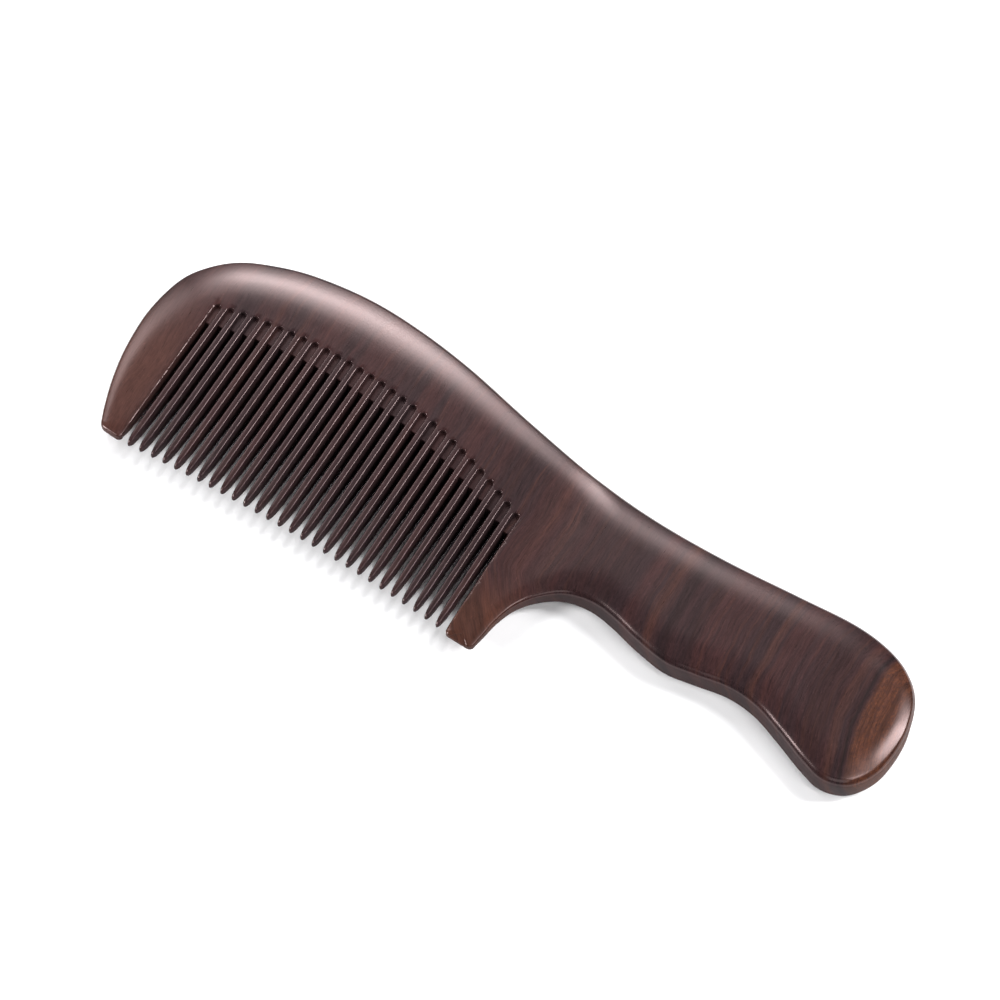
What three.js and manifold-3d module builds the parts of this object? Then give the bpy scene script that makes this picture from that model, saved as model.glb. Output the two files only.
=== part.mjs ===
// Handled dressing comb in dark hardwood.
//
// The back is one carved piece: the spine, the two end guards and the shaped handle. The teeth are
// separate. Each one is let into its own slot in the back, between two short fingers that are cut
// back below both faces, and is held by a blind tenon that is glued into a mortise in the spine.
//
// Millimetres, +Z up. +X runs along the comb from the head to the handle, +Y from the tooth tips to
// the spine. The comb lies on one face. The origin is on that face, at the centre of the footprint.

import * as THREE from "three";
import { mergeVertices } from "three/addons/utils/BufferGeometryUtils.js";
import Module from "manifold-3d";

const wasm = await Module();
wasm.setup();

// Driving dimensions

const THICKNESS = 10; // through the spine and the handle
const EDGE_WALL = 4.4; // upright band left around the edge, between the two roundings
const EDGE_INSET = 2.2; // how far each rounding reaches in from the edge

const TOOTH_COUNT = 28;
const PITCH = 3.1;
const TOOTH_WIDTH = 1.5;
const FIRST_TOOTH_X = -84.4;
const TIP_HALF_THICKNESS = 1.3; // of the faces where they reach the tips
const FACE_SLOPE = 0.068; // rise of each face from the tips to the spine
const TIP_LENGTH = 3; // the stretch that narrows to a rounded point
const TIP_HALF_WIDTH = 0.3; // left at the very tip

const ROOT_ARC = { x: -57.5, top: 14.6, radius: 132 }; // crown of the line of groove tops
const TIP_ARC = { x: -58, top: -27.9, radius: 540 }; // crown of the line of tooth tips
const GROOVE_LENGTH = 5; // of the sunk finger between two teeth
const GROOVE_DEPTH = 1; // of a finger below the faces

const TENON_LENGTH = 6;
const TENON_THICKNESS = 3;
const GLUE_GAP = 0.1; // between a tooth and the walls of its slot and mortise

const NECK = { x: 9, slope: 0.11 }; // where the thin head starts to swell into the handle

const GAP_WIDTH = PITCH - TOOTH_WIDTH;
const FACES = [1, -1]; // upper and lower, as the sign of their height
const TIP_LINE_Y = TIP_ARC.top;
const REACH = 300; // larger than the comb, for cutters that run out past it
const CUTTER_OVERLAP = 1; // how far a mortise cutter runs back into its slot
const WELD_DISTANCE = 1e-5;

const OUTLINE_STEPS = 3; // chords between two points of the outline
const BEVEL_STEPS = 4; // facets across the rounding of an edge
const GROOVE_END_STEPS = 8; // chords round the end of a groove
const TIP_STEPS = 6; // chords along each curve of a tooth's tip

const BACK_LOOK = { color: 0x43302b, roughness: 0.38, metalness: 0 };
const TOOTH_LOOK = { color: 0x4a3733, roughness: 0.38, metalness: 0 };

// Outline at mid-thickness: up the left guard, along the spine to the butt, back under the handle
// and down the right guard. The spline passes through every point. It runs on past the ends of the
// guards, which are then trimmed to length.

const BLANK_BOTTOM_Y = -40;
const LEFT_GUARD = [[-86, BLANK_BOTTOM_Y], [-89.5, -34], [-92.3, -28.2], [-94.6, -23.2]];
const HEAD_END = [[-97.2, -16], [-99.1, -8], [-100, 2], [-98.7, 11.8], [-95.7, 18]];
const SPINE = [[-89.8, 23.8], [-82, 27.5], [-72, 30.2], [-58, 31.5], [-44, 30.6], [-28, 27.8], [-8, 22.6]];
const HANDLE_TOP = [[12, 18], [28, 15.8], [46, 15.2], [64, 15.8], [78, 16.2], [87, 14.8]];
const BUTT = [[93.4, 11.8], [97.8, 7], [100, 0], [100.2, -7], [98.8, -13.4], [95, -18.5], [89.5, -20.2]];
const FINGER_GRIP = [[84, -18.7], [76, -15.2], [69, -12.5], [62, -11.7], [54, -12.9], [47, -13.7]];
const NECK_ARCH = [[39, -12.2], [32, -10.2], [26, -9.3], [20, -10.4], [15.2, -13.8], [11.9, -18.2]];
const RIGHT_GUARD = [[10.2, -23], [9.4, -28], [8.6, -33], [7.4, BLANK_BOTTOM_Y]];
const GUARD_ENDS = [[-100, -27.3], [-87.2, -28.5], [2.2, -31.6], [15, -32.2]];

// Geometry helpers

function solidFrom(geometry) {
  const bare = geometry.clone();
  bare.deleteAttribute("normal");
  bare.deleteAttribute("uv");
  const merged = mergeVertices(bare, WELD_DISTANCE);
  const mesh = new wasm.Mesh({
    numProp: 3,
    vertProperties: new Float32Array(merged.attributes.position.array),
    triVerts: new Uint32Array(merged.index.array),
  });
  return new wasm.Manifold(mesh);
}

function geometryFrom(solid) {
  const { numProp, vertProperties, triVerts } = solid.getMesh();
  const geometry = new THREE.BufferGeometry();
  const interleaved = new THREE.InterleavedBuffer(vertProperties, numProp);
  geometry.setAttribute("position", new THREE.InterleavedBufferAttribute(interleaved, 3, 0));
  geometry.setIndex(new THREE.BufferAttribute(triVerts, 1));
  const faceted = geometry.toNonIndexed();
  faceted.computeVertexNormals();
  return faceted;
}

function box(width, depth, height, x, y, z) {
  return solidFrom(new THREE.BoxGeometry(width, depth, height).translate(x, y, z));
}

function extrusion(shape, height, curveSegments) {
  const options = { depth: height, bevelEnabled: false, curveSegments };
  return new THREE.ExtrudeGeometry(shape, options).translate(0, 0, -height / 2);
}

// Turns a geometry whose base is level so that the base lies on a plane that rises by slopeX, slopeY.
function tilted(geometry, slopeX, slopeY) {
  const normal = new THREE.Vector3(-slopeX, -slopeY, 1).normalize();
  const turn = new THREE.Quaternion().setFromUnitVectors(new THREE.Vector3(0, 0, 1), normal);
  return geometry.applyQuaternion(turn);
}

// Everything beyond the plane through (x, y, height) on one face of the comb.
function spaceBeyond(face, x, y, height, slopeX, slopeY) {
  const block = new THREE.BoxGeometry(REACH * 2, REACH * 2, REACH).translate(0, 0, (face * REACH) / 2);
  const turned = tilted(block, face * slopeX, face * slopeY);
  return solidFrom(turned.translate(x, y, face * height));
}

function arcHeight(arc, x) {
  return arc.top - arc.radius + Math.sqrt(arc.radius ** 2 - (x - arc.x) ** 2);
}

// Places along the tooth row

const toothX = (index) => FIRST_TOOTH_X + index * PITCH;
const gapX = (index) => toothX(index) - PITCH / 2;
const grooveTopY = (x) => arcHeight(ROOT_ARC, x);
const fingerEndY = (x) => grooveTopY(x) - GROOVE_LENGTH;
const shoulderY = (x) => grooveTopY(x) - GAP_WIDTH / 2;
const faceHalfThickness = (y) => TIP_HALF_THICKNESS + FACE_SLOPE * (y - TIP_LINE_Y);

const teeth = Array.from({ length: TOOTH_COUNT }, (_, index) => index);
const gaps = Array.from({ length: TOOTH_COUNT + 1 }, (_, index) => index);

// The back

function blankGeometry() {
  const shape = new THREE.Shape();
  const runs = [LEFT_GUARD, HEAD_END, SPINE, HANDLE_TOP, BUTT, FINGER_GRIP, NECK_ARCH, RIGHT_GUARD];
  const [start, ...rest] = runs.flat().map(([x, y]) => new THREE.Vector2(x, y));
  shape.moveTo(start.x, start.y);
  shape.splineThru(rest);
  const geometry = new THREE.ExtrudeGeometry(shape, {
    depth: EDGE_WALL,
    bevelThickness: (THICKNESS - EDGE_WALL) / 2,
    bevelSize: EDGE_INSET,
    bevelOffset: -EDGE_INSET,
    bevelSegments: BEVEL_STEPS,
    curveSegments: OUTLINE_STEPS,
  });
  return geometry.translate(0, 0, -EDGE_WALL / 2);
}

// Everything below the slanting ends of the two guards.
function guardTrim() {
  const shape = new THREE.Shape();
  shape.moveTo(GUARD_ENDS[0][0], -REACH);
  GUARD_ENDS.forEach(([x, y]) => shape.lineTo(x, y));
  shape.lineTo(GUARD_ENDS.at(-1)[0], -REACH);
  return solidFrom(extrusion(shape, 2 * THICKNESS, 1));
}

// The head thins towards the tips. Past the neck the face rises until it meets the full thickness.
function headTaper(face) {
  const thinned = spaceBeyond(face, 0, TIP_LINE_Y, TIP_HALF_THICKNESS, 0, FACE_SLOPE);
  const swelling = spaceBeyond(face, NECK.x, TIP_LINE_Y, TIP_HALF_THICKNESS, NECK.slope, FACE_SLOPE);
  return thinned.intersect(swelling);
}

function toothSlot(index) {
  const x = toothX(index);
  const top = shoulderY(x);
  const slot = box(TOOTH_WIDTH + 2 * GLUE_GAP, REACH, REACH, x, top - REACH / 2, 0);
  const mortiseEnd = top + TENON_LENGTH + 2 * GLUE_GAP;
  const mortiseStart = top - CUTTER_OVERLAP;
  const length = mortiseEnd - mortiseStart;
  const height = TENON_THICKNESS + 2 * GLUE_GAP;
  const mortise = box(TOOTH_WIDTH + 2 * GLUE_GAP, length, height, x, mortiseStart + length / 2, 0);
  return slot.add(mortise);
}

function openGap(index) {
  const x = gapX(index);
  return box(GAP_WIDTH, REACH, REACH, x, fingerEndY(x) - REACH / 2, 0);
}

function grooveCutter(index, face) {
  const x = gapX(index);
  const shape = new THREE.Shape();
  shape.moveTo(-GAP_WIDTH / 2, -GROOVE_LENGTH);
  shape.absarc(0, 0, GAP_WIDTH / 2, Math.PI, 0, true);
  shape.lineTo(GAP_WIDTH / 2, -GROOVE_LENGTH);
  const roundEnd = shoulderY(x);
  const floor = faceHalfThickness(roundEnd) - GROOVE_DEPTH;
  const geometry = extrusion(shape, THICKNESS, GROOVE_END_STEPS).translate(0, 0, (face * THICKNESS) / 2);
  const turned = tilted(geometry, 0, face * FACE_SLOPE);
  return solidFrom(turned.translate(x, roundEnd, face * floor));
}

function combBack() {
  const tapers = FACES.map(headTaper);
  const slots = teeth.map(toothSlot);
  const openings = gaps.map(openGap);
  const grooves = FACES.flatMap((face) => gaps.map((index) => grooveCutter(index, face)));
  const cutters = [guardTrim(), ...tapers, ...slots, ...openings, ...grooves];
  return cutters.reduce((solid, cutter) => solid.subtract(cutter), solidFrom(blankGeometry()));
}

// The teeth, each drawn about its own centre line at x = 0

function toothSideProfile(tip, shoulder) {
  const neckOfTip = tip + TIP_LENGTH;
  const atNeck = faceHalfThickness(neckOfTip);
  const atShoulder = faceHalfThickness(shoulder);
  const tenonTop = shoulder + TENON_LENGTH;
  const half = TENON_THICKNESS / 2;
  const shape = new THREE.Shape();
  shape.moveTo(tip, 0);
  shape.quadraticCurveTo(tip, -atNeck, neckOfTip, -atNeck);
  shape.lineTo(shoulder, -atShoulder);
  shape.lineTo(shoulder, -half);
  shape.lineTo(tenonTop, -half);
  shape.lineTo(tenonTop, half);
  shape.lineTo(shoulder, half);
  shape.lineTo(shoulder, atShoulder);
  shape.lineTo(neckOfTip, atNeck);
  shape.quadraticCurveTo(tip, atNeck, tip, 0);
  return shape;
}

function toothFrontProfile(tip, shoulder) {
  const half = TOOTH_WIDTH / 2;
  const shape = new THREE.Shape();
  shape.moveTo(-TIP_HALF_WIDTH, tip);
  shape.quadraticCurveTo(-half, tip + TIP_LENGTH / 2, -half, tip + 2 * TIP_LENGTH);
  shape.lineTo(-half, shoulder + REACH);
  shape.lineTo(half, shoulder + REACH);
  shape.lineTo(half, tip + 2 * TIP_LENGTH);
  shape.quadraticCurveTo(half, tip + TIP_LENGTH / 2, TIP_HALF_WIDTH, tip);
  return shape;
}

function tooth(index) {
  const x = toothX(index);
  const tip = arcHeight(TIP_ARC, x);
  const shoulder = shoulderY(x);
  const along = new THREE.Vector3(0, 1, 0);
  const up = new THREE.Vector3(0, 0, 1);
  const across = new THREE.Vector3(1, 0, 0);
  const standing = new THREE.Matrix4().makeBasis(along, up, across);
  const side = extrusion(toothSideProfile(tip, shoulder), 2 * TOOTH_WIDTH, TIP_STEPS).applyMatrix4(standing);
  const front = extrusion(toothFrontProfile(tip, shoulder), 2 * THICKNESS, TIP_STEPS);
  return solidFrom(side).intersect(solidFrom(front));
}

// Assembly

const comb = new THREE.Group();

function addPart(name, solid, x, look) {
  const mesh = new THREE.Mesh(geometryFrom(solid), new THREE.MeshStandardMaterial(look));
  mesh.name = name;
  mesh.position.x = x;
  comb.add(mesh);
}

addPart("comb_back", combBack(), 0, BACK_LOOK);
for (const index of teeth) {
  addPart(`tooth_${String(index + 1).padStart(2, "0")}`, tooth(index), toothX(index), TOOTH_LOOK);
}

const footprint = new THREE.Box3().setFromObject(comb, true);
const centre = footprint.getCenter(new THREE.Vector3());
comb.position.set(-centre.x, -centre.y, -footprint.min.z);

const assembly = new THREE.Group();
assembly.add(comb);

export default assembly;
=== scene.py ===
"""Handled dressing comb in dark hardwood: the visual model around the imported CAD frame.

The comb is drawn in millimetres about its mid-plane, in the same drawing frame as the CAD source:
+X from the head to the handle, +Y from the tooth tips to the spine, heights from the mid-plane. The
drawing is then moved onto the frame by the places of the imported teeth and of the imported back.
"""

import math

import bmesh
import bpy
import numpy as np
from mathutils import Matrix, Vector
from mathutils.geometry import delaunay_2d_cdt
from mathutils.kdtree import KDTree


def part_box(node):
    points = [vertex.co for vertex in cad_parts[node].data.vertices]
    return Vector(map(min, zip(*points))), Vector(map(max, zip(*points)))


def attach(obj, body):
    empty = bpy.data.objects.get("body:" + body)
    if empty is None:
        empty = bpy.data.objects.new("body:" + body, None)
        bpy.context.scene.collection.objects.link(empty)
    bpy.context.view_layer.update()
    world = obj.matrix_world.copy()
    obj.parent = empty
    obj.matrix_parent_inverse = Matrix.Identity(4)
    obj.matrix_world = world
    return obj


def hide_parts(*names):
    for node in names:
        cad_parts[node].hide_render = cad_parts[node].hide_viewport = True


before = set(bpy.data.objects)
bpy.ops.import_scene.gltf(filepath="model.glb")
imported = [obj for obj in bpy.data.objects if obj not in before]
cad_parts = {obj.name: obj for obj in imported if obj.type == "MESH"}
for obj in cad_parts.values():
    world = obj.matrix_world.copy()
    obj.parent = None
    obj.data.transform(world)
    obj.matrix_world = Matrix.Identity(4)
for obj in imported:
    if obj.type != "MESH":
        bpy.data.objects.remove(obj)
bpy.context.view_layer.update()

MM = 0.001

# Places taken from the frame

TOOTH_NAMES = sorted(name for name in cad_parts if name.startswith("tooth_"))
TOOTH_COUNT = len(TOOTH_NAMES)


def box_mm(node):
    """Lowest and highest corners of a CAD node, in millimetres."""
    low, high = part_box(node)
    return np.array(low) / MM, np.array(high) / MM


first_low, first_high = box_mm(TOOTH_NAMES[0])
last_low, _ = box_mm(TOOTH_NAMES[-1])
back_low, back_high = box_mm("comb_back")

TOOTH_WIDTH = first_high[0] - first_low[0]
PITCH = (last_low[0] - first_low[0]) / (TOOTH_COUNT - 1)
GAP_WIDTH = PITCH - TOOTH_WIDTH
HALF_THICKNESS = (back_high[2] - back_low[2]) / 2

# The drawing, in its own frame

FIRST_TOOTH_X = -84.4  # centre line of the first tooth
TIP_LINE_Y = -27.9  # crown of the line of tooth tips
TIP_HALF_THICKNESS = 1.3  # of the faces where they reach the tips
FACE_SLOPE = 0.068  # rise of each face from the tips to the spine
NECK_X = 9  # where the thin head starts to swell into the handle
NECK_SLOPE = 0.11
NECK_BLEND = 0.5  # heights over which the neck's swelling starts softly
HANDLE_BLEND = 0.35  # and over which it ends

ROOT_ARC = (-57.5, 14.6, 132)  # crown x, crown y and radius of the line of groove tops
TIP_ARC = (-58, TIP_LINE_Y, 540)  # the same for the line of tooth tips
GROOVE_LENGTH = 5
GROOVE_DEPTH = 1
TENON_LENGTH = 6
TENON_THICKNESS = 3
GLUE_GAP = 0.1
SEAM = 0.01  # hairline between a tooth and the walls of its slot
EDGE_RADIUS = 0.4  # of the worked edges on the teeth and on the guards' inner walls
RIM_RADIUS = 0.12  # of the crisper edges round the grooves and across the finger ends

# The outline, clockwise from below the left guard's foot, as (x, y)
BELOW_GUARDS = -40  # the guards' sides run on to here and are cut at the line of their ends
LEFT_GUARD = [(-86, BELOW_GUARDS), (-89.5, -34), (-92.3, -28.2), (-94.6, -23.2)]
HEAD_END = [(-97.2, -16), (-99.1, -8), (-100, 2), (-98.7, 11.8), (-95.7, 18)]
SPINE = [(-89.8, 23.8), (-82, 27.5), (-72, 30.2), (-58, 31.5), (-44, 30.6), (-28, 27.8), (-8, 22.6)]
HANDLE_TOP = [(12, 18), (28, 15.8), (46, 15.2), (64, 15.8), (78, 16.2), (87, 14.8)]
BUTT = [(93.4, 11.8), (97.8, 7), (100, 0), (100.2, -7), (98.8, -13.4), (95, -18.5), (89.5, -20.2)]
FINGER_GRIP = [(84, -18.7), (76, -15.2), (69, -12.5), (62, -11.7), (54, -12.9), (47, -13.7)]
NECK_ARCH = [(39, -12.2), (32, -10.2), (26, -9.3), (20, -10.4), (15.2, -13.8), (11.9, -18.2)]
RIGHT_GUARD = [(10.2, -23), (9.4, -28), (8.6, -33), (7.4, BELOW_GUARDS)]
GUARD_ENDS = [(-100, -27.3), (-87.2, -28.5), (2.2, -31.6), (15, -32.2)]  # a line that cuts both
SPINE_CREST_Y = max(y for _, y in SPINE)
GUARD_CORNER = 1.4  # how far the rounding of a guard's corners reaches along each side

# How the face comes down to the outline where the comb has its full thickness: reach and depth of the
# shallow crown, reach of the rounding outside it, and half height of the upright wall
SPINE_EDGE = np.array([13, 2.25, 1.0, 2.3])
HANDLE_EDGE = np.array([8.5, 1.75, 1.1, 2.1])
BUTT_EDGE = np.array([5.0, 1.7, 1.0, 2.1])
LOWER_EDGE = np.array([7.5, 1.6, 1.6, 2.0])
HANDLE_EDGE_X = (-60, 14)  # where the spine's edge turns into the handle's
BUTT_EDGE_X = (85, 97)  # and the handle's into the butt's
LOWER_EDGE_TURN = (0.2, -0.5)  # part of the outward direction along +Y where the lower edge begins

DRAWING_TO_FRAME = np.array([
    (first_low[0] + first_high[0]) / 2 - FIRST_TOOTH_X,
    back_high[1] - SPINE_CREST_Y,
    (back_high[2] + back_low[2]) / 2,
])


def tooth_x(index):
    """Centre line of a tooth."""
    return FIRST_TOOTH_X + index * PITCH


def gap_x(index):
    """Centre line of the gap to the left of a tooth."""
    return tooth_x(index) - PITCH / 2


def arc_y(arc, x):
    """Height y at x of an arc given by its crown and radius, with the crown on top."""
    crown_x, crown_y, radius = arc
    return crown_y - radius + math.sqrt(radius**2 - (x - crown_x) ** 2)


def groove_top_y(index):
    """Top of the groove to the left of a tooth."""
    return arc_y(ROOT_ARC, gap_x(index))


# Small helpers


def smooth_min(a, b, width):
    """The smaller value, with the change from one to the other rounded over the width."""
    blend = np.clip(width - np.abs(a - b), 0, None) / width
    return np.minimum(a, b) - blend**2 * width / 4


def smooth_max(a, b, width):
    return -smooth_min(-a, -b, width)


def smooth_step(low, high, value):
    """Smoothly from 0 to 1 as the value goes from low to high."""
    share = np.clip((value - low) / (high - low), 0, 1)
    return share * share * (3 - 2 * share)


def half_thickness(x, y):
    """Height of the worked face above the mid-plane, before its edges are rounded."""
    wedge = TIP_HALF_THICKNESS + FACE_SLOPE * (y - TIP_LINE_Y)
    swelling = wedge + NECK_SLOPE * (x - NECK_X)
    swollen = smooth_max(wedge, swelling, NECK_BLEND)
    return smooth_min(swollen, HALF_THICKNESS, HANDLE_BLEND)


# Outline

OUTLINE_STEP = 0.45
GUARD_CORNER_POINTS = 7


def spline(points, step):
    """Points about one step apart on the uniform Catmull-Rom curve through the given ones."""
    points = [np.array(p, float) for p in points]
    curve = []
    for i in range(len(points) - 1):
        before = points[max(i - 1, 0)]
        start, end = points[i], points[i + 1]
        after = points[min(i + 2, len(points) - 1)]
        tangent_in, tangent_out = (end - before) / 2, (after - start) / 2
        count = max(2, round(float(np.linalg.norm(end - start)) / step))
        for t in np.arange(count) / count:
            cubic = (2 * start - 2 * end + tangent_in + tangent_out) * t**3
            square = (-3 * start + 3 * end - 2 * tangent_in - tangent_out) * t**2
            curve.append(cubic + square + tangent_in * t + start)
    curve.append(points[-1])
    return np.array(curve)


def guard_end_y(x):
    """Lower limit of the guards at x."""
    return np.interp(x, [p[0] for p in GUARD_ENDS], [p[1] for p in GUARD_ENDS])


def rounded_corner(before, corner, after, reach):
    """Points of a soft corner, starting and ending one reach from the corner."""
    start = corner + (before - corner) * reach / np.linalg.norm(before - corner)
    end = corner + (after - corner) * reach / np.linalg.norm(after - corner)
    t = np.linspace(0, 1, GUARD_CORNER_POINTS)[:, None]
    return start * (1 - t) ** 2 + 2 * corner * t * (1 - t) + end * t**2


def guard_foot(outer_side, inner_x):
    """The end of a guard, from its outer side (listed towards the tip) to its inner wall."""
    tip = outer_side[-1]
    outer_corner = np.array([tip[0], guard_end_y(tip[0])])
    inner_corner = np.array([inner_x, guard_end_y(inner_x)])
    above_inner = inner_corner + np.array([0, 1])
    far = outer_side[np.linalg.norm(outer_side - outer_corner, axis=1) > GUARD_CORNER]
    first = rounded_corner(far[-1], outer_corner, inner_corner, GUARD_CORNER)
    second = rounded_corner(outer_corner, inner_corner, above_inner, GUARD_CORNER)
    return np.vstack([far, first, second])


def comb_outline():
    """From the inner foot of the left guard, round the comb, to the inner foot of the right one."""
    runs = LEFT_GUARD + HEAD_END + SPINE + HANDLE_TOP + BUTT + FINGER_GRIP + NECK_ARCH + RIGHT_GUARD
    curve = spline(runs, OUTLINE_STEP)
    curve = curve[curve[:, 1] > guard_end_y(curve[:, 0])]
    middle = len(curve) // 2
    left_inner = gap_x(0) - GAP_WIDTH / 2
    right_inner = gap_x(TOOTH_COUNT) + GAP_WIDTH / 2
    left = guard_foot(curve[:middle][::-1], left_inner)[::-1]
    right = guard_foot(curve[middle:], right_inner)
    return np.vstack([left, right])


def inward_normals(points):
    """Unit normals to the right of the direction of travel, which is inward for a clockwise loop."""
    ahead = np.gradient(points, axis=0)
    ahead /= np.linalg.norm(ahead, axis=1)[:, None]
    return np.stack([ahead[:, 1], -ahead[:, 0]], axis=1)


class Profile:
    """How the face comes down to an edge at full thickness, given at every point of the edge.

    A shallow crown falls by the depth over the reach; a small rounding then leads to an upright
    wall, whose half height is the last value.
    """

    def __init__(self, reach, depth, radius, wall):
        self.values = np.stack([reach, depth, radius, wall], axis=1)


def outline_profile(points, inward):
    """The edges of the spine, handle, butt and lower side, each blended into the next."""
    x, outward_y = points[:, 0], -inward[:, 1]
    values = np.tile(SPINE_EDGE, (len(points), 1))
    for edge, share in (
        (HANDLE_EDGE, smooth_step(*HANDLE_EDGE_X, x)),
        (BUTT_EDGE, smooth_step(*BUTT_EDGE_X, x)),
        (LOWER_EDGE, smooth_step(*LOWER_EDGE_TURN, outward_y)),
    ):
        values = values + (edge - values) * share[:, None]
    return Profile(*values.T)


def plain_rounding(radius):
    """A small worked edge without a crown, with its radius at every point."""
    return Profile(radius, 0 * radius, radius, radius)


def groove_rounding(angles):
    """Crisp round the end of a groove, and as worn as the teeth where it meets them."""
    worn = np.clip(np.abs(np.cos(angles)), 0, 1) ** 4
    return plain_rounding(RIM_RADIUS + (EDGE_RADIUS - RIM_RADIUS) * worn)


NEAREST_BATCH = 1500  # points handled at a time, which bounds the memory in use


class Edge:
    """A run of the plan's boundary, and the rounding that it gives to the face beside it."""

    def __init__(self, points, profile):
        self.points = points
        self.profile = profile.values
        self.inward = inward_normals(points)

    def nearest(self, queries):
        """Distance from each query point, with the profile's values at the nearest place."""
        start, end = self.points[:-1], self.points[1:]
        along = end - start
        length_squared = (along**2).sum(1)
        distance = np.empty(len(queries))
        values = np.empty((len(queries), self.profile.shape[1]))
        for low in range(0, len(queries), NEAREST_BATCH):
            batch = slice(low, low + NEAREST_BATCH)
            offset = queries[batch, None, :] - start[None]
            share = np.clip((offset * along).sum(2) / length_squared, 0, 1)
            gap = np.linalg.norm(offset - share[:, :, None] * along, axis=2)
            best = gap.argmin(1)
            rows = np.arange(len(best))
            at = share[rows, best][:, None]
            distance[batch] = gap[rows, best]
            values[batch] = self.profile[best] * (1 - at) + self.profile[best + 1] * at
        return distance, values


def quarter(distance, reach):
    """0 at the edge, with an upright tangent, to 1 at the reach and beyond."""
    share = np.clip(distance / reach, 0, 1)
    return np.sqrt(np.clip(1 - (1 - share) ** 2, 0, 1))


def face_height(points, outer, inner_edges):
    """Height of the finished face above the mid-plane at points of the plan."""
    full = half_thickness(points[:, 0], points[:, 1])
    scale = full / HALF_THICKNESS
    distance, values = outer.nearest(points)
    reach, depth, radius, wall = (values * scale[:, None]).T
    crown = np.clip(1 - distance / reach, 0, 1) ** 2
    height = full - depth * crown - (full - depth - wall) * (1 - quarter(distance, radius))
    drop = 0 * height
    for edge in inner_edges:
        low = edge.points.min(0) - EDGE_RADIUS
        high = edge.points.max(0) + EDGE_RADIUS
        near = np.where(((points > low) & (points < high)).all(1))[0]
        if len(near):
            gap, values = edge.nearest(points[near])
            radius = values[:, 2]
            drop[near] = np.maximum(drop[near], radius * (1 - quarter(gap, radius)))
    return height - drop


# Mesh building

SHARP_ANGLE = 35  # degrees between two faces, from which their edge is shaded as sharp


class Shell:
    """Collects a closed surface that is its own mirror image in the mid-plane."""

    def __init__(self):
        self.vertices = []
        self.faces = []

    def pair(self, x, y, height):
        """A point above the mid-plane and its image below: their two indices."""
        self.vertices += [(x, y, height), (x, y, -height)]
        return len(self.vertices) - 2

    def face_pair(self, corners):
        """A face given by upper indices, and its mirror image."""
        self.faces.append(list(corners))
        self.faces.append([i + 1 for i in reversed(corners)])

    def wall(self, upper_run):
        """One upright face from a run of upper points down to their images."""
        self.faces.append(list(upper_run) + [i + 1 for i in reversed(upper_run)])


def object_from(name, vertices, faces):
    """A linked object from drawing coordinates, smooth except at its sharp edges."""
    placed = (np.array(vertices) + DRAWING_TO_FRAME) * MM
    mesh = bpy.data.meshes.new(name)
    mesh.from_pydata([tuple(v) for v in placed], [], faces)
    work = bmesh.new()
    work.from_mesh(mesh)
    bmesh.ops.recalc_face_normals(work, faces=work.faces)
    for face in work.faces:
        face.smooth = True
    for edge in work.edges:
        edge.smooth = edge.is_manifold and edge.calc_face_angle(0) < math.radians(SHARP_ANGLE)
    work.to_mesh(mesh)
    work.free()
    thing = bpy.data.objects.new(name, mesh)
    bpy.context.scene.collection.objects.link(thing)
    return thing


def evenly(start, end, step):
    """Places from start to end, about one step apart."""
    count = max(1, round(abs(end - start) / step))
    return np.linspace(start, end, count + 1)


def rings_beside(edge, insets):
    """Points beside an edge at the given insets, an array with one row for each ring."""
    rings = [edge.points + edge.inward * inset[:, None] for inset in insets]
    return np.vstack(rings), np.concatenate(insets)


# Where the back's face gets its points
ROUNDING_RINGS = (0.03, 0.09, 0.18, 0.29, 0.42, 0.57, 0.73, 0.87, 1)  # shares of a rounding's reach
CROWN_RINGS = (0.07, 0.16, 0.28, 0.42, 0.58, 0.78, 1)  # shares of the way from there across the crown
INNER_RINGS = (0.1, 0.25, 0.45, 0.7, 1)  # shares of a small worked edge
RING_KEPT = 0.97  # a ring ends where the outline comes nearer than this share of the ring's inset
FIELD_STEP = 1.1  # of the grid in the field inside all the rings
FIELD_MARGIN = 1.05  # where the field starts, as a share of the crown's reach
BOUNDARY_MARGIN = 0.015  # least distance of a point from the plan's boundary
WORKED_RIM = 2.1  # beside the plan's boundary, where the surface turns quickly
FINE_SPACING = 0.05  # least distance between the face's points there
COARSE_SPACING = 0.36  # and everywhere else
TRIANGULATION_PRECISION = 1e-6
FILL_INSIDE = 1  # makes the triangulation keep only what lies inside the plan

GROOVE_END_POINTS = 11
SHOULDER_SHARES = (0.025, 0.06, 0.12, 0.19, 0.27, 0.73, 0.81, 0.88, 0.94, 0.975)
GUARD_STEP = 1.0  # between points of a guard's inner wall
FINGER_STEP = 0.7  # and of its part beside the finger


def groove_place(index):
    """Sides of a groove, y of its round end's centre, and y of its finger's square end."""
    half_slot = TOOTH_WIDTH / 2 + SEAM
    left = tooth_x(index - 1) + half_slot
    right = tooth_x(index) - half_slot
    if index == 0:
        left = gap_x(index) - GAP_WIDTH / 2
    if index == TOOTH_COUNT:
        right = gap_x(index) + GAP_WIDTH / 2
    top = groove_top_y(index)
    return {"left": left, "right": right, "y": top - GAP_WIDTH / 2, "end": top - GROOVE_LENGTH}


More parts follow.
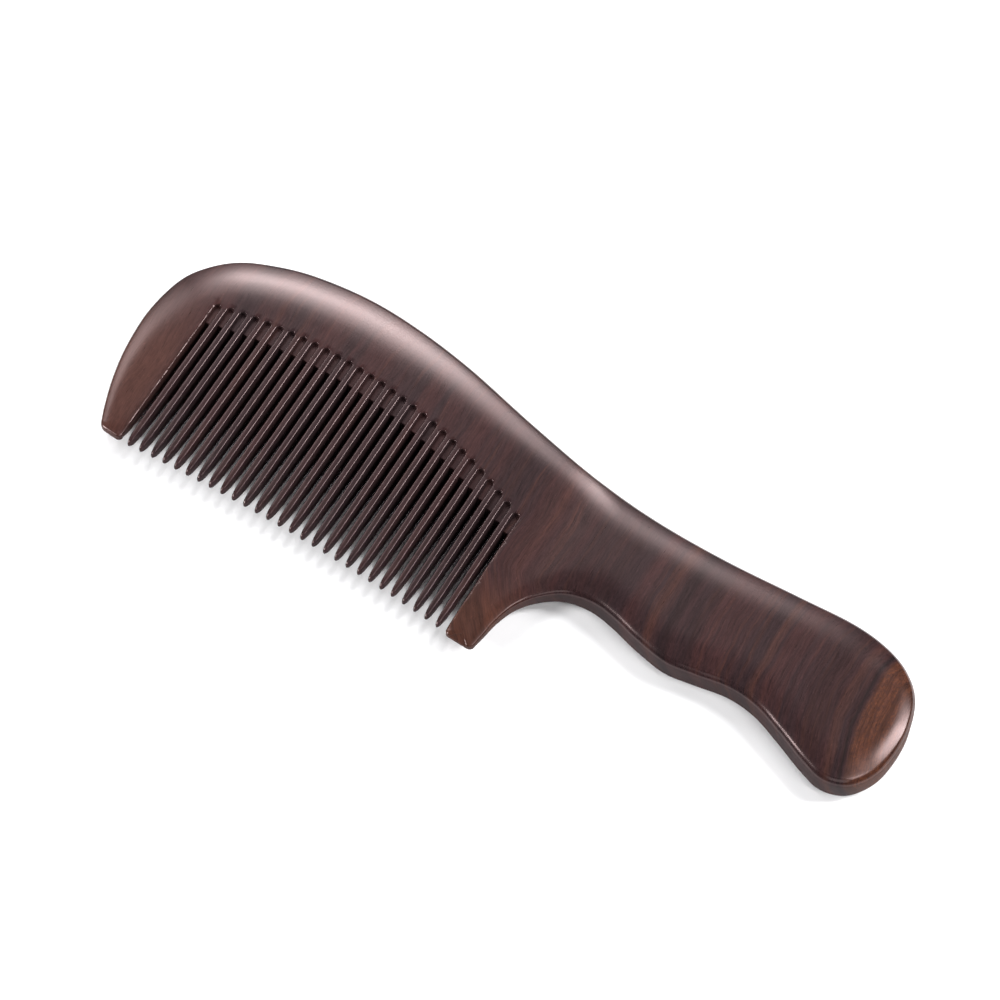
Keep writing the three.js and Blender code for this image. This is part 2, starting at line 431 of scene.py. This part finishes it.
class Back:
    """The carved back: outline, grooves, fingers, slots and mortises in one closed shell."""

    def __init__(self):
        self.shell = Shell()
        outline = comb_outline()
        self.outer = Edge(outline, outline_profile(outline, inward_normals(outline)))
        self.inner = []
        self.plan = []  # the closed boundary of the face, clockwise, as (x, y)
        self.layout()
        self.build_face()
        self.build_details()

    def add_run(self, points):
        """Appends points to the plan and returns their places in it."""
        first = len(self.plan)
        self.plan += [tuple(p) for p in points]
        return list(range(first, len(self.plan)))

    def add_inner_edge(self, points, profile):
        self.inner.append(Edge(np.array(points), profile))

    def layout(self):
        """Walks the plan's boundary, clockwise, and keeps where each feature lies on it."""
        self.outline_run = self.add_run(self.outer.points)
        self.grooves = [groove_place(index) for index in range(TOOTH_COUNT + 1)]
        self.shoulders = [None] * TOOTH_COUNT
        left_foot, right_foot = self.outer.points[0], self.outer.points[-1]
        for index in range(TOOTH_COUNT, -1, -1):
            groove = self.grooves[index]
            if index == TOOTH_COUNT:
                wall = self.guard_wall(groove["right"], right_foot[1], groove)
                groove["right_wall"] = self.add_run(wall)
            self.add_groove_end(groove)
            if index == 0:
                wall = self.guard_wall(groove["left"], left_foot[1], groove)
                groove["left_wall"] = self.add_run(wall[::-1])[::-1]
            else:
                self.add_shoulder(index - 1)

    def add_groove_end(self, groove):
        radius = (groove["right"] - groove["left"]) / 2
        middle = (groove["right"] + groove["left"]) / 2
        angles = np.linspace(0, math.pi, GROOVE_END_POINTS)
        arc = [(middle + radius * math.cos(a), groove["y"] + radius * math.sin(a)) for a in angles]
        self.add_inner_edge(arc, groove_rounding(angles))
        groove["arc"] = self.add_run(arc)

    def add_shoulder(self, tooth):
        """The line across a tooth's slot, from the groove on its right to the one on its left."""
        x, y = self.grooves[tooth + 1]["left"], self.grooves[tooth + 1]["y"]
        width = self.grooves[tooth]["right"] - x
        rise = self.grooves[tooth]["y"] - y
        self.shoulders[tooth] = self.add_run([(x + width * s, y + rise * s) for s in SHOULDER_SHARES])

    def guard_wall(self, x, foot_y, groove):
        """The inner wall of a guard, upwards between its rounded foot and the groove beside it."""
        ledge_y = groove["end"] + RIM_RADIUS
        stops = [*evenly(foot_y, groove["end"], GUARD_STEP)[1:], ledge_y]
        stops += [*evenly(ledge_y, groove["y"], FINGER_STEP)[1:-1]]
        whole = [foot_y, *stops, groove["y"]]
        if groove is self.grooves[0]:
            whole.reverse()
        self.add_inner_edge([(x, y) for y in whole], plain_rounding(np.full(len(whole), EDGE_RADIUS)))
        return [(x, y) for y in stops]

    def build_face(self):
        """Triangulates the plan with rings along the edges, and lifts it to the finished face."""
        plan = np.array(self.plan)
        points = np.vstack([plan, self.face_points(plan)])
        places = [Vector(point) for point in points]
        loop = [list(range(len(plan)))]
        result = delaunay_2d_cdt(places, [], loop, FILL_INSIDE, TRIANGULATION_PRECISION)
        coordinates, _, triangles, sources = result[:4]
        coordinates = np.array([tuple(c) for c in coordinates])
        heights = face_height(coordinates, self.outer, self.inner)
        self.upper = {}
        indices = []
        for (x, y), height, source in zip(coordinates, heights, sources):
            vertex = self.shell.pair(x, y, height)
            indices.append(vertex)
            for original in source:
                self.upper[original] = vertex
        for triangle in triangles:
            self.shell.face_pair([indices[i] for i in triangle])

    def face_points(self, plan):
        """Points inside the plan: rings beside its edges and a grid in the field between them."""
        points = [self.outline_rings()]
        for edge in self.inner:
            insets = [edge.profile[:, 2] * share for share in INNER_RINGS]
            points.append(rings_beside(edge, insets)[0])
        points.append(self.field_grid(plan))
        points = np.vstack(points)
        closed = np.vstack([plan, plan[:1]])
        boundary = Edge(closed, plain_rounding(np.zeros(len(closed))))
        distance, _ = boundary.nearest(points)
        kept = (distance > BOUNDARY_MARGIN) & self.inside(points)
        spacing = np.where(distance[kept] < WORKED_RIM, FINE_SPACING, COARSE_SPACING)
        return self.thinned(points[kept], spacing)

    def outline_rings(self):
        scale = half_thickness(*self.outer.points.T) / HALF_THICKNESS
        reach, _, radius, _ = (self.outer.profile * scale[:, None]).T
        insets = [radius * share for share in ROUNDING_RINGS]
        insets += [radius + (reach - radius) * share for share in CROWN_RINGS]
        points, inset = rings_beside(self.outer, insets)
        distance, _ = self.outer.nearest(points)
        return points[(distance > RING_KEPT * inset) & (inset > BOUNDARY_MARGIN)]

    def field_grid(self, plan):
        """A grid of staggered rows over the part that the outline's crown doesn't reach."""
        low, high = plan.min(0), plan.max(0)
        columns = np.arange(low[0], high[0], FIELD_STEP)
        rows = np.arange(low[1], high[1], FIELD_STEP)
        stagger = FIELD_STEP / 2
        grid = np.array([(x + stagger * (row % 2), y) for row, y in enumerate(rows) for x in columns])
        distance, values = self.outer.nearest(grid)
        scale = half_thickness(*grid.T) / HALF_THICKNESS
        return grid[distance > FIELD_MARGIN * values[:, 0] * scale]

    def inside(self, points):
        """Whether each point lies inside the plan, by counting crossings."""
        plan = np.array(self.plan)
        x, y = points[:, 0], points[:, 1]
        result = np.zeros(len(points), bool)
        for (x0, y0), (x1, y1) in zip(plan, np.roll(plan, -1, axis=0)):
            if y0 != y1:
                crosses = (y0 > y) != (y1 > y)
                result ^= crosses & (x < (x1 - x0) * (y - y0) / (y1 - y0) + x0)
        return result

    @staticmethod
    def thinned(points, spacing):
        """Drops each point that lies within the spacing of an earlier one."""
        tree = KDTree(len(points))
        for index, (x, y) in enumerate(points):
            tree.insert((x, y, 0), index)
        tree.balance()
        kept = np.ones(len(points), bool)
        for index, (x, y) in enumerate(points):
            if kept[index]:
                for _, other, _ in tree.find_range((x, y, 0), spacing[index]):
                    kept[other] = kept[other] and other <= index
        return points[kept]

    def build_details(self):
        """The upright edge wall, and everything below the face between the teeth."""
        up = self.upper
        outline = [up[i] for i in self.outline_run]
        for a, b in zip(outline, outline[1:]):
            self.shell.wall([a, b])
        for groove in self.grooves:
            self.build_groove(groove, outline)
        for index in range(TOOTH_COUNT):
            self.build_mortise(index)

    def floor_pair(self, x, y, drop=0):
        """A point of a groove's sunk floor, or that much lower, with its image."""
        return self.shell.pair(x, y, half_thickness(x, y) - GROOVE_DEPTH - drop)

    def build_groove(self, groove, outline):
        """Round end, sunk floor, and the square end of the finger with its small worn edge."""
        shell, up = self.shell, self.upper
        rim = [up[i] for i in groove["arc"]]
        floor = [self.floor_pair(*self.plan[i]) for i in groove["arc"]]
        for a, b, c, d in zip(rim, rim[1:], floor[1:], floor):
            shell.face_pair([a, b, c, d])
        edge_y = groove["end"] + RIM_RADIUS
        left, right, end = groove["left"], groove["right"], groove["end"]
        near = [self.floor_pair(x, edge_y) for x in (right, left)]
        tip = [self.floor_pair(x, end, RIM_RADIUS) for x in (right, left)]
        shell.face_pair(near + floor[::-1])
        shell.face_pair([near[0], near[1], tip[1], tip[0]])
        shell.wall([tip[0], tip[1]])
        groove["right_side"] = [floor[0], near[0], tip[0]]
        groove["left_side"] = [floor[-1], near[1], tip[1]]
        if "right_wall" in groove:
            run = [outline[-1]] + [up[i] for i in groove["right_wall"]] + [rim[0]]
            self.build_guard_side(run, groove["right_side"])
        if "left_wall" in groove:
            run = [outline[0]] + [up[i] for i in groove["left_wall"]] + [rim[-1]]
            self.build_guard_side(run, groove["left_side"])

    def build_guard_side(self, run, floor_side):
        """The inner wall of a guard: full height below the finger, above its floor beside it."""
        shell = self.shell
        corner, near, tip = floor_side
        heights = [shell.vertices[i][1] for i in run]
        tip_y = shell.vertices[tip][1]
        at_tip = int(np.argmin([abs(y - tip_y) for y in heights]))
        for a, b in zip(run[:at_tip - 1], run[1:at_tip]):
            shell.wall([a, b])
        shell.wall([run[at_tip - 1], run[at_tip], tip])
        at_near = at_tip + 1
        shell.face_pair([run[at_tip], run[at_near], near, tip])
        shell.face_pair(run[at_near:] + [corner, near])

    def build_mortise(self, index):
        """The end of a tooth's slot, with the blind mortise for its tenon."""
        shell, up = self.shell, self.upper
        left_side = self.grooves[index]["right_side"]
        right_side = self.grooves[index + 1]["left_side"]
        half = TENON_THICKNESS / 2 + GLUE_GAP
        corners, depths = [], []
        for side in (left_side, right_side):
            x, y, _ = shell.vertices[side[0]]
            corners.append(shell.pair(x, y, half))
            depths.append(shell.pair(x, y + TENON_LENGTH + 2 * GLUE_GAP, half))
        left_rim = up[self.grooves[index]["arc"][0]]
        right_rim = up[self.grooves[index + 1]["arc"][-1]]
        line = [up[i] for i in self.shoulders[index]]
        across_slot = [left_side[0], corners[0], corners[1], right_side[0]]
        shell.face_pair([right_rim] + line + [left_rim] + across_slot)
        shell.face_pair([corners[0], corners[1], depths[1], depths[0]])
        shell.wall([corners[0], depths[0]])
        shell.wall([corners[1], depths[1]])
        shell.wall([depths[0], depths[1]])
        for side, corner in ((left_side, corners[0]), (right_side, corners[1])):
            shell.wall([corner] + side)


def build_back():
    back = Back()
    return object_from("comb_back_wood", back.shell.vertices, back.shell.faces)


# Teeth

TIP_TAPER = 3  # length over which a tooth thins to its tip
TIP_HALF_WIDTH = 0.3
TIP_ROUNDING = 0.55  # length of the small round point
NEAR_TIP = [0.02, 0.08, 0.18, 0.32, 0.5, 0.75, 1.1, 1.6, 2.2, 3, 4, 5, 6]  # sections, from the tip
BLADE_STEP = 3.5  # between the sections further up
CORNER_STEPS = 4
LARGEST_CORNER = 0.95  # of a section's half width or height


def tooth_half_width(from_tip):
    """Half width at a distance from the tip: a slow taper that ends in a small round point."""
    reach = 2 * TIP_TAPER
    t = (math.sqrt(1 + 4 * min(from_tip, reach) / TIP_TAPER) - 1) / 2
    half = TOOTH_WIDTH / 2 - (TOOTH_WIDTH / 2 - TIP_HALF_WIDTH) * (1 - t) ** 2
    if from_tip < TIP_ROUNDING:
        half *= math.sqrt(1 - (1 - from_tip / TIP_ROUNDING) ** 2)
    return half


def tooth_half_thickness(x, y, from_tip):
    """Half thickness of a tooth, which follows the face and thins out at the tip."""
    full = half_thickness(x, y)
    if from_tip < TIP_TAPER:
        t = math.sqrt(from_tip / TIP_TAPER)
        full *= 1 - (1 - t) ** 2
    return full


def rounded_section(half_width, half_height, radius):
    """A rectangle with rounded corners, counter-clockwise in (x, z)."""
    radius = min(radius, LARGEST_CORNER * half_width, LARGEST_CORNER * half_height)
    points = []
    for turn, (side, top) in enumerate([(1, 1), (-1, 1), (-1, -1), (1, -1)]):
        x, z = side * (half_width - radius), top * (half_height - radius)
        for step in range(CORNER_STEPS + 1):
            angle = math.pi / 2 * (turn + step / CORNER_STEPS)
            points.append((x + radius * math.cos(angle), z + radius * math.sin(angle)))
    return points


def tube(rings):
    """Vertices and faces of a closed tube through rings that have equally many points."""
    vertices = [point for ring in rings for point in ring]
    count = len(rings[0])
    last = len(vertices) - count
    faces = [list(range(count)), list(range(last, len(vertices)))]
    for start in range(0, last, count):
        for i in range(count):
            j = (i + 1) % count
            faces.append([start + i, start + j, start + count + j, start + count + i])
    return vertices, faces


def build_tooth(index):
    """A blade whose root ends on the slanting line of its slot, and a tenon, in one closed tube."""
    x = tooth_x(index)
    tip = arc_y(TIP_ARC, x)
    left_root = groove_top_y(index) - GAP_WIDTH / 2 - SEAM
    right_root = groove_top_y(index + 1) - GAP_WIDTH / 2 - SEAM
    root = (left_root + right_root) / 2
    slant = (right_root - left_root) / TOOTH_WIDTH
    stations = NEAR_TIP + list(evenly(NEAR_TIP[-1], root - tip, BLADE_STEP)[1:])
    rings = []
    for station in stations:
        y = tip + station
        lean = slant if station == stations[-1] else 0
        height = tooth_half_thickness(x, y, station)
        section = rounded_section(tooth_half_width(station), height, EDGE_RADIUS)
        rings.append([(x + dx, y + lean * dx, z) for dx, z in section])
    tenon = rounded_section(TOOTH_WIDTH / 2 - SEAM, TENON_THICKNESS / 2, RIM_RADIUS)
    rings.append([(x + dx, root + slant * dx, z) for dx, z in tenon])
    rings.append([(x + dx, root + TENON_LENGTH, z) for dx, z in tenon])
    return object_from(TOOTH_NAMES[index] + "_wood", *tube(rings))


# Materials


class Graph:
    """Short-hand for the nodes of one material."""

    def __init__(self, name):
        self.material = bpy.data.materials.new(name)
        self.material.use_nodes = True
        self.tree = self.material.node_tree
        self.tree.nodes.clear()

    def node(self, kind, **settings):
        node = self.tree.nodes.new(kind)
        for key, value in settings.items():
            setattr(node, key, value)
        return node

    def feed(self, socket, value):
        if isinstance(value, bpy.types.NodeSocket):
            self.tree.links.new(value, socket)
        else:
            socket.default_value = value

    def math(self, operation, a, b=0.0):
        node = self.node("ShaderNodeMath", operation=operation)
        self.feed(node.inputs[0], a)
        self.feed(node.inputs[1], b)
        return node.outputs[0]

    def add(self, a, b):
        return self.math("ADD", a, b)

    def times(self, a, b):
        return self.math("MULTIPLY", a, b)

    def ramp(self, value, low, high, out_low=0.0, out_high=1.0):
        """Smoothly from the third number to the fourth as the value goes from low to high."""
        node = self.node("ShaderNodeMapRange", interpolation_type="SMOOTHSTEP")
        self.feed(node.inputs["Value"], value)
        names = ("From Min", "From Max", "To Min", "To Max")
        for key, number in zip(names, (low, high, out_low, out_high)):
            self.feed(node.inputs[key], number)
        return node.outputs[0]

    def peak(self, value, centre, width):
        """1 where the value meets the centre, falling smoothly to 0 one width away."""
        distance = self.math("ABSOLUTE", self.add(value, -centre))
        return self.ramp(distance, 0, width, 1, 0)

    def vector(self, x, y, z):
        node = self.node("ShaderNodeCombineXYZ")
        for socket, value in zip(node.inputs, (x, y, z)):
            self.feed(socket, value)
        return node.outputs[0]

    def stretched(self, place, shares):
        """A place with each coordinate times its share, which stretches a pattern laid on it."""
        return self.vector(*[self.times(value, share) for value, share in zip(place, shares)])

    def noise(self, vector, scale=1.0, detail=2.0, roughness=0.5, distortion=0.0):
        node = self.node("ShaderNodeTexNoise")
        self.feed(node.inputs["Vector"], vector)
        self.feed(node.inputs["Scale"], scale)
        self.feed(node.inputs["Detail"], detail)
        self.feed(node.inputs["Roughness"], roughness)
        self.feed(node.inputs["Distortion"], distortion)
        return node.outputs[0]

    def waves(self, place, shares, detail, size):
        """A slow random shift, up to about half its size either way."""
        wave = self.noise(self.stretched(place, shares), 1.0, detail)
        return self.times(self.add(wave, -0.5), size)

    def depth_below(self, y, level):
        """How far a y lies below a level, and 0 above it."""
        return self.math("MAXIMUM", self.add(self.times(y, -1), level), 0)

    def mix(self, share, a, b, blend="MIX"):
        node = self.node("ShaderNodeMix", data_type="RGBA", blend_type=blend)
        self.feed(node.inputs[0], share)
        self.feed(node.inputs[6], a)
        self.feed(node.inputs[7], b)
        return node.outputs[2]

    def output(self, shader):
        node = self.node("ShaderNodeOutputMaterial")
        self.feed(node.inputs["Surface"], shader.outputs[0])
        return self.material


def colour(red, green, blue):
    return (red, green, blue, 1.0)


PURPLE_BROWN = colour(0.029, 0.0120, 0.0122)
GREY_BROWN = colour(0.018, 0.0098, 0.0110)
NEAR_BLACK = colour(0.006, 0.0045, 0.0052)
RED_BROWN = colour(0.050, 0.0195, 0.0145)
ORANGE_BROWN = colour(0.072, 0.025, 0.013)

# Streaks of the board, as (place across the layers in mm, half width, strength)
DARK_STREAKS = [
    (45.2, 2.0, 0.9),
    (51, 2.5, 0.4),
    (90.4, 0.9, 0.85),
    (23, 7, 0.4),
    (29, 4, 0.45),
    (83, 5, 0.45),
    (-4, 6, 0.35),
]
RED_STREAKS = [
    (41.3, 2.4, 0.6),
    (67.5, 1.3, 0.45),
    (87.6, 1.6, 0.6),
    (-70.7, 0.9, 0.6),
    (8, 5, 0.3),
    (15, 4, 0.25),
]
BUTT_LAYERS = (90.8, 92.3)  # across which the warmer wood of the butt begins
BEND_TOP = 8  # y below which the layers bend towards the butt
BEND = 0.0045  # of the layers, in mm for each square mm below there
BEND_START_X = (0, 40)
LEAN_TOP = -11  # y below which the layers lean in the right guard
LEAN = 0.65
LAYER_TILT = 0.35  # of the layers through the comb's thickness

FACE_ROUGHNESS = 0.25
FIBRE_ROUGHNESS = 0.08
POLISHED = 0.75  # share of the roughness left on edges that handling has polished
END_GRAIN = 3  # times as rough on the upright walls
FACE_SPECULAR = 0.5
END_GRAIN_SPECULAR = 0.28
GRAIN_RELIEF = 0.00003  # in metres
GRAIN_STRENGTH = 0.12
WOOD_SHEEN = colour(1.0, 0.76, 0.75)
WOOD_IOR = 1.5


def drawing_coordinates(graph):
    """Object-space position as (x, y, z) in millimetres of the drawing frame."""
    place = graph.node("ShaderNodeTexCoord").outputs["Object"]
    split = graph.node("ShaderNodeSeparateXYZ")
    graph.feed(split.inputs[0], place)
    axes = []
    for socket, shift in zip(split.outputs, DRAWING_TO_FRAME):
        axes.append(graph.add(graph.times(socket, 1 / MM), -float(shift)))
    return axes


def layers_across(graph, place, in_guard):
    """Millimetres across the layers, which run along y, bend low on the handle and wander a little."""
    x, y, z = place
    low_handle = graph.depth_below(y, BEND_TOP)
    bend = graph.times(graph.times(low_handle, low_handle), graph.ramp(x, *BEND_START_X, 0, BEND))
    lean = graph.times(graph.depth_below(y, LEAN_TOP), graph.times(in_guard, LEAN))
    sway = graph.waves(place, (0.02, 0.035, 0.04), detail=2, size=4.0)
    ripple = graph.waves(place, (0.16, 0.13, 0.1), detail=3, size=1.6)
    straight = graph.add(x, graph.times(graph.add(bend, lean), -1))
    across = graph.add(straight, graph.add(sway, ripple))
    return graph.add(across, graph.times(z, LAYER_TILT))


def ground_tone(graph, layered, medium):
    """Grey-brown and purple-brown in broad layers, with redder and darker ones among them."""
    broad = graph.noise(layered, scale=0.16, detail=3, roughness=0.6)
    tone = graph.mix(graph.ramp(broad, 0.38, 0.62), GREY_BROWN, PURPLE_BROWN)
    tone = graph.mix(graph.ramp(medium, 0.52, 0.75, 0, 0.5), tone, RED_BROWN)
    return graph.mix(graph.ramp(medium, 0.46, 0.25, 0, 0.45), tone, NEAR_BLACK)


def warmer_ends(graph, tone, place, across, medium, in_guard):
    """A red-brown left guard, an orange-brown right guard, and a curly orange-brown butt."""
    x, y, _ = place
    left_guard = graph.times(graph.ramp(x, -84, -90), graph.ramp(y, 20, -10, 0, 0.85))
    tone = graph.mix(left_guard, tone, RED_BROWN)
    right_guard = graph.times(in_guard, graph.ramp(y, -12, -26, 0, 0.6))
    curly_place = graph.stretched(place, (1, 0.6, 1))
    curly = graph.noise(curly_place, scale=1.4, detail=3, roughness=0.6, distortion=1.5)
    butt = graph.ramp(across, *BUTT_LAYERS)
    butt = graph.times(butt, graph.ramp(curly, 0.35, 0.65, 0.45, 1))
    orange = graph.math("MAXIMUM", butt, right_guard)
    tone = graph.mix(orange, tone, ORANGE_BROWN)
    dark_layers = graph.times(orange, graph.ramp(medium, 0.54, 0.36, 0, 0.55))
    return graph.mix(dark_layers, tone, NEAR_BLACK)


def streaked(graph, tone, across, medium):
    """The single red and dark streaks, stronger in some layers than in others."""
    patchy = graph.ramp(medium, 0.35, 0.6, 0.5, 1)
    for streaks, streak_colour in ((RED_STREAKS, RED_BROWN), (DARK_STREAKS, NEAR_BLACK)):
        for centre, width, strength in streaks:
            share = graph.times(graph.peak(across, centre, width), strength)
            tone = graph.mix(graph.times(share, patchy), tone, streak_colour)
    return tone


def fibre_shaded(graph, tone, place, fibre, pores):
    """Lightens and darkens the tone by fibres, dark pores and pale flecks."""
    flecks = graph.noise(graph.stretched(place, (1, 0.3, 1)), scale=3.1, detail=1)
    shade = graph.ramp(fibre, 0.3, 0.7, 0.73, 1.27)
    shade = graph.times(shade, graph.add(1, graph.times(pores, -0.4)))
    shade = graph.add(shade, graph.times(graph.ramp(flecks, 0.66, 0.78), 0.5))
    grey = graph.node("ShaderNodeCombineColor")
    for socket in grey.inputs:
        graph.feed(socket, shade)
    return graph.mix(1.0, tone, grey.outputs[0], "MULTIPLY")


def grain_normal(graph, fibre, pores):
    bump = graph.node("ShaderNodeBump")
    graph.feed(bump.inputs["Strength"], GRAIN_STRENGTH)
    graph.feed(bump.inputs["Distance"], GRAIN_RELIEF)
    graph.feed(bump.inputs["Height"], graph.add(graph.times(fibre, 0.6), graph.times(pores, -0.4)))
    return bump.outputs[0]


def feed_finish(graph, shader, fibre):
    """Handling polishes the rounded edges, and the upright end grain stays duller."""
    normal = graph.node("ShaderNodeSeparateXYZ")
    graph.feed(normal.inputs[0], graph.node("ShaderNodeNewGeometry").outputs["Normal"])
    levelness = graph.math("ABSOLUTE", normal.outputs[2])
    polished = graph.ramp(levelness, 0.94, 0.84, 1, POLISHED)
    worked = graph.times(polished, graph.ramp(levelness, 0.6, 0.25, 1, END_GRAIN))
    roughness = graph.add(FACE_ROUGHNESS, graph.times(fibre, FIBRE_ROUGHNESS))
    specular = graph.ramp(levelness, 0.1, 0.5, END_GRAIN_SPECULAR, FACE_SPECULAR)
    graph.feed(shader.inputs["Roughness"], graph.times(roughness, worked))
    graph.feed(shader.inputs["Specular IOR Level"], specular)
    graph.feed(shader.inputs["Specular Tint"], WOOD_SHEEN)
    graph.feed(shader.inputs["IOR"], WOOD_IOR)


def wood_material(name, greyness):
    """Dark rosewood-like hardwood, greyed by the given share."""
    graph = Graph(name)
    place = drawing_coordinates(graph)
    x, y, z = place
    in_guard = graph.times(graph.ramp(x, 0, 2), graph.ramp(x, 22, 14))  # 1 in the right guard
    across = layers_across(graph, place, in_guard)

    layered = graph.stretched((across, y, z), (1, 0.03, 0.12))
    fibre_place = graph.stretched((across, y, z), (1, 0.05, 0.5))
    pore_place = graph.stretched((across, y, z), (1, 0.13, 0.6))
    medium = graph.noise(layered, scale=0.9, detail=3, roughness=0.6)
    fibre = graph.noise(fibre_place, scale=4.2, detail=3, roughness=0.65)
    pores = graph.ramp(graph.noise(pore_place, scale=6.5, detail=1), 0.60, 0.72)

    tone = ground_tone(graph, layered, medium)
    tone = warmer_ends(graph, tone, place, across, medium, in_guard)
    tone = streaked(graph, tone, across, medium)
    tone = graph.mix(greyness, tone, GREY_BROWN)
    tone = fibre_shaded(graph, tone, place, fibre, pores)

    shader = graph.node("ShaderNodeBsdfPrincipled")
    graph.feed(shader.inputs["Base Color"], tone)
    graph.feed(shader.inputs["Normal"], grain_normal(graph, fibre, pores))
    feed_finish(graph, shader, fibre)
    return graph.output(shader)


def floor_material():
    """White card with a faint grain in its sheen."""
    graph = Graph("white_table")
    place = graph.node("ShaderNodeTexCoord").outputs["Object"]
    grain = graph.noise(place, scale=400, detail=2)
    shader = graph.node("ShaderNodeBsdfPrincipled")
    graph.feed(shader.inputs["Base Color"], colour(0.92, 0.92, 0.93))
    graph.feed(shader.inputs["Roughness"], graph.ramp(grain, 0.3, 0.7, 0.7, 0.8))
    return graph.output(shader)


# Stage

FLOOR_HALF_SIZE = 2.0
FLOOR_LEVEL = -0.0001  # just below the comb's underside

LIGHT_DISTANCE = 0.9
# Soft boxes, as (name, azimuth from +X and elevation in degrees, width, height, watts)
LIGHTS = [
    ("back_left_softbox", 121, 37, 0.44, 0.10, 5.8),
    ("back_left_upper", 122, 47, 0.40, 0.14, 1.8),
    ("left_softbox", 164, 38, 0.26, 0.22, 1.5),
    ("right_strip", 32, 42, 0.17, 0.50, 8.5),
    ("front_left_softbox", 221, 32, 0.24, 0.18, 7.0),
    ("front_right_fill", 300, 34, 0.6, 0.35, 1.2),
    ("overhead_softbox", 345, 52, 0.30, 0.30, 2.7),
]
WORLD_COLOUR = colour(1.0, 0.97, 1.0)
WORLD_STRENGTH = 0.03

CAMERA_AZIMUTH = 31.32  # degrees from the front of the comb towards its handle
CAMERA_ELEVATION = 62
CAMERA_DISTANCE = 691.2  # in mm, from the target
CAMERA_TARGET = np.array([-5.1, 3.3, 0])  # on the drawing's mid-plane
CAMERA_LENS = 110.8
CAMERA_SENSOR = 36
CAMERA_CLIP_START = 0.01


def build_floor():
    """A plain sheet of card under the comb."""
    mesh = bpy.data.meshes.new("floor")
    turns = [(-1, -1), (1, -1), (1, 1), (-1, 1)]
    corners = [(x * FLOOR_HALF_SIZE, y * FLOOR_HALF_SIZE, FLOOR_LEVEL) for x, y in turns]
    mesh.from_pydata(corners, [], [(0, 1, 2, 3)])
    mesh.materials.append(floor_material())
    floor = bpy.data.objects.new("floor", mesh)
    bpy.context.scene.collection.objects.link(floor)


def softbox(name, azimuth, elevation, width, height, power):
    """An area light facing the comb."""
    light = bpy.data.lights.new(name, "AREA")
    light.shape = "RECTANGLE"
    light.size = width
    light.size_y = height
    light.energy = power
    thing = bpy.data.objects.new(name, light)
    bearing, rise = math.radians(azimuth), math.radians(elevation)
    level = Vector((math.cos(bearing), math.sin(bearing), 0)) * math.cos(rise)
    towards = level + Vector((0, 0, math.sin(rise)))
    thing.location = towards * LIGHT_DISTANCE
    thing.rotation_euler = towards.to_track_quat("Z", "Y").to_euler()
    bpy.context.scene.collection.objects.link(thing)


def build_lights():
    """The soft boxes and a faint even light from all round."""
    for light in LIGHTS:
        softbox(*light)
    world = bpy.data.worlds.new("studio")
    world.use_nodes = True
    background = world.node_tree.nodes["Background"]
    background.inputs["Color"].default_value = WORLD_COLOUR
    background.inputs["Strength"].default_value = WORLD_STRENGTH
    bpy.context.scene.world = world


def build_camera():
    """A camera at the photograph's viewing angle."""
    azimuth, elevation = math.radians(CAMERA_AZIMUTH), math.radians(CAMERA_ELEVATION)
    towards = Vector((
        math.sin(azimuth) * math.cos(elevation),
        -math.cos(azimuth) * math.cos(elevation),
        math.sin(elevation),
    ))
    data = bpy.data.cameras.new("photo_view")
    data.lens = CAMERA_LENS
    data.sensor_width = CAMERA_SENSOR
    data.clip_start = CAMERA_CLIP_START
    camera = bpy.data.objects.new("photo_view", data)
    target = Vector((CAMERA_TARGET + DRAWING_TO_FRAME) * MM)
    camera.location = target + towards * (CAMERA_DISTANCE * MM)
    camera.rotation_euler = towards.to_track_quat("Z", "Y").to_euler()
    bpy.context.scene.collection.objects.link(camera)
    bpy.context.scene.camera = camera


# Assembly

TOOTH_GREYNESS = 0.45  # the teeth look a little greyer than the back


def place_piece(piece, node, material):
    """Gives a piece its material, and lets it stand for its CAD node."""
    piece.data.materials.append(material)
    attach(piece, "root")
    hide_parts(node)


def build_comb():
    """The back and the teeth, one piece for each CAD node."""
    back_wood = wood_material("carved_back_wood", 0)
    tooth_wood = wood_material("inserted_tooth_wood", TOOTH_GREYNESS)
    place_piece(build_back(), "comb_back", back_wood)
    for index, node in enumerate(TOOTH_NAMES):
        place_piece(build_tooth(index), node, tooth_wood)


build_comb()
build_floor()
build_lights()
build_camera()
bpy.context.scene.view_settings.view_transform = "Standard"
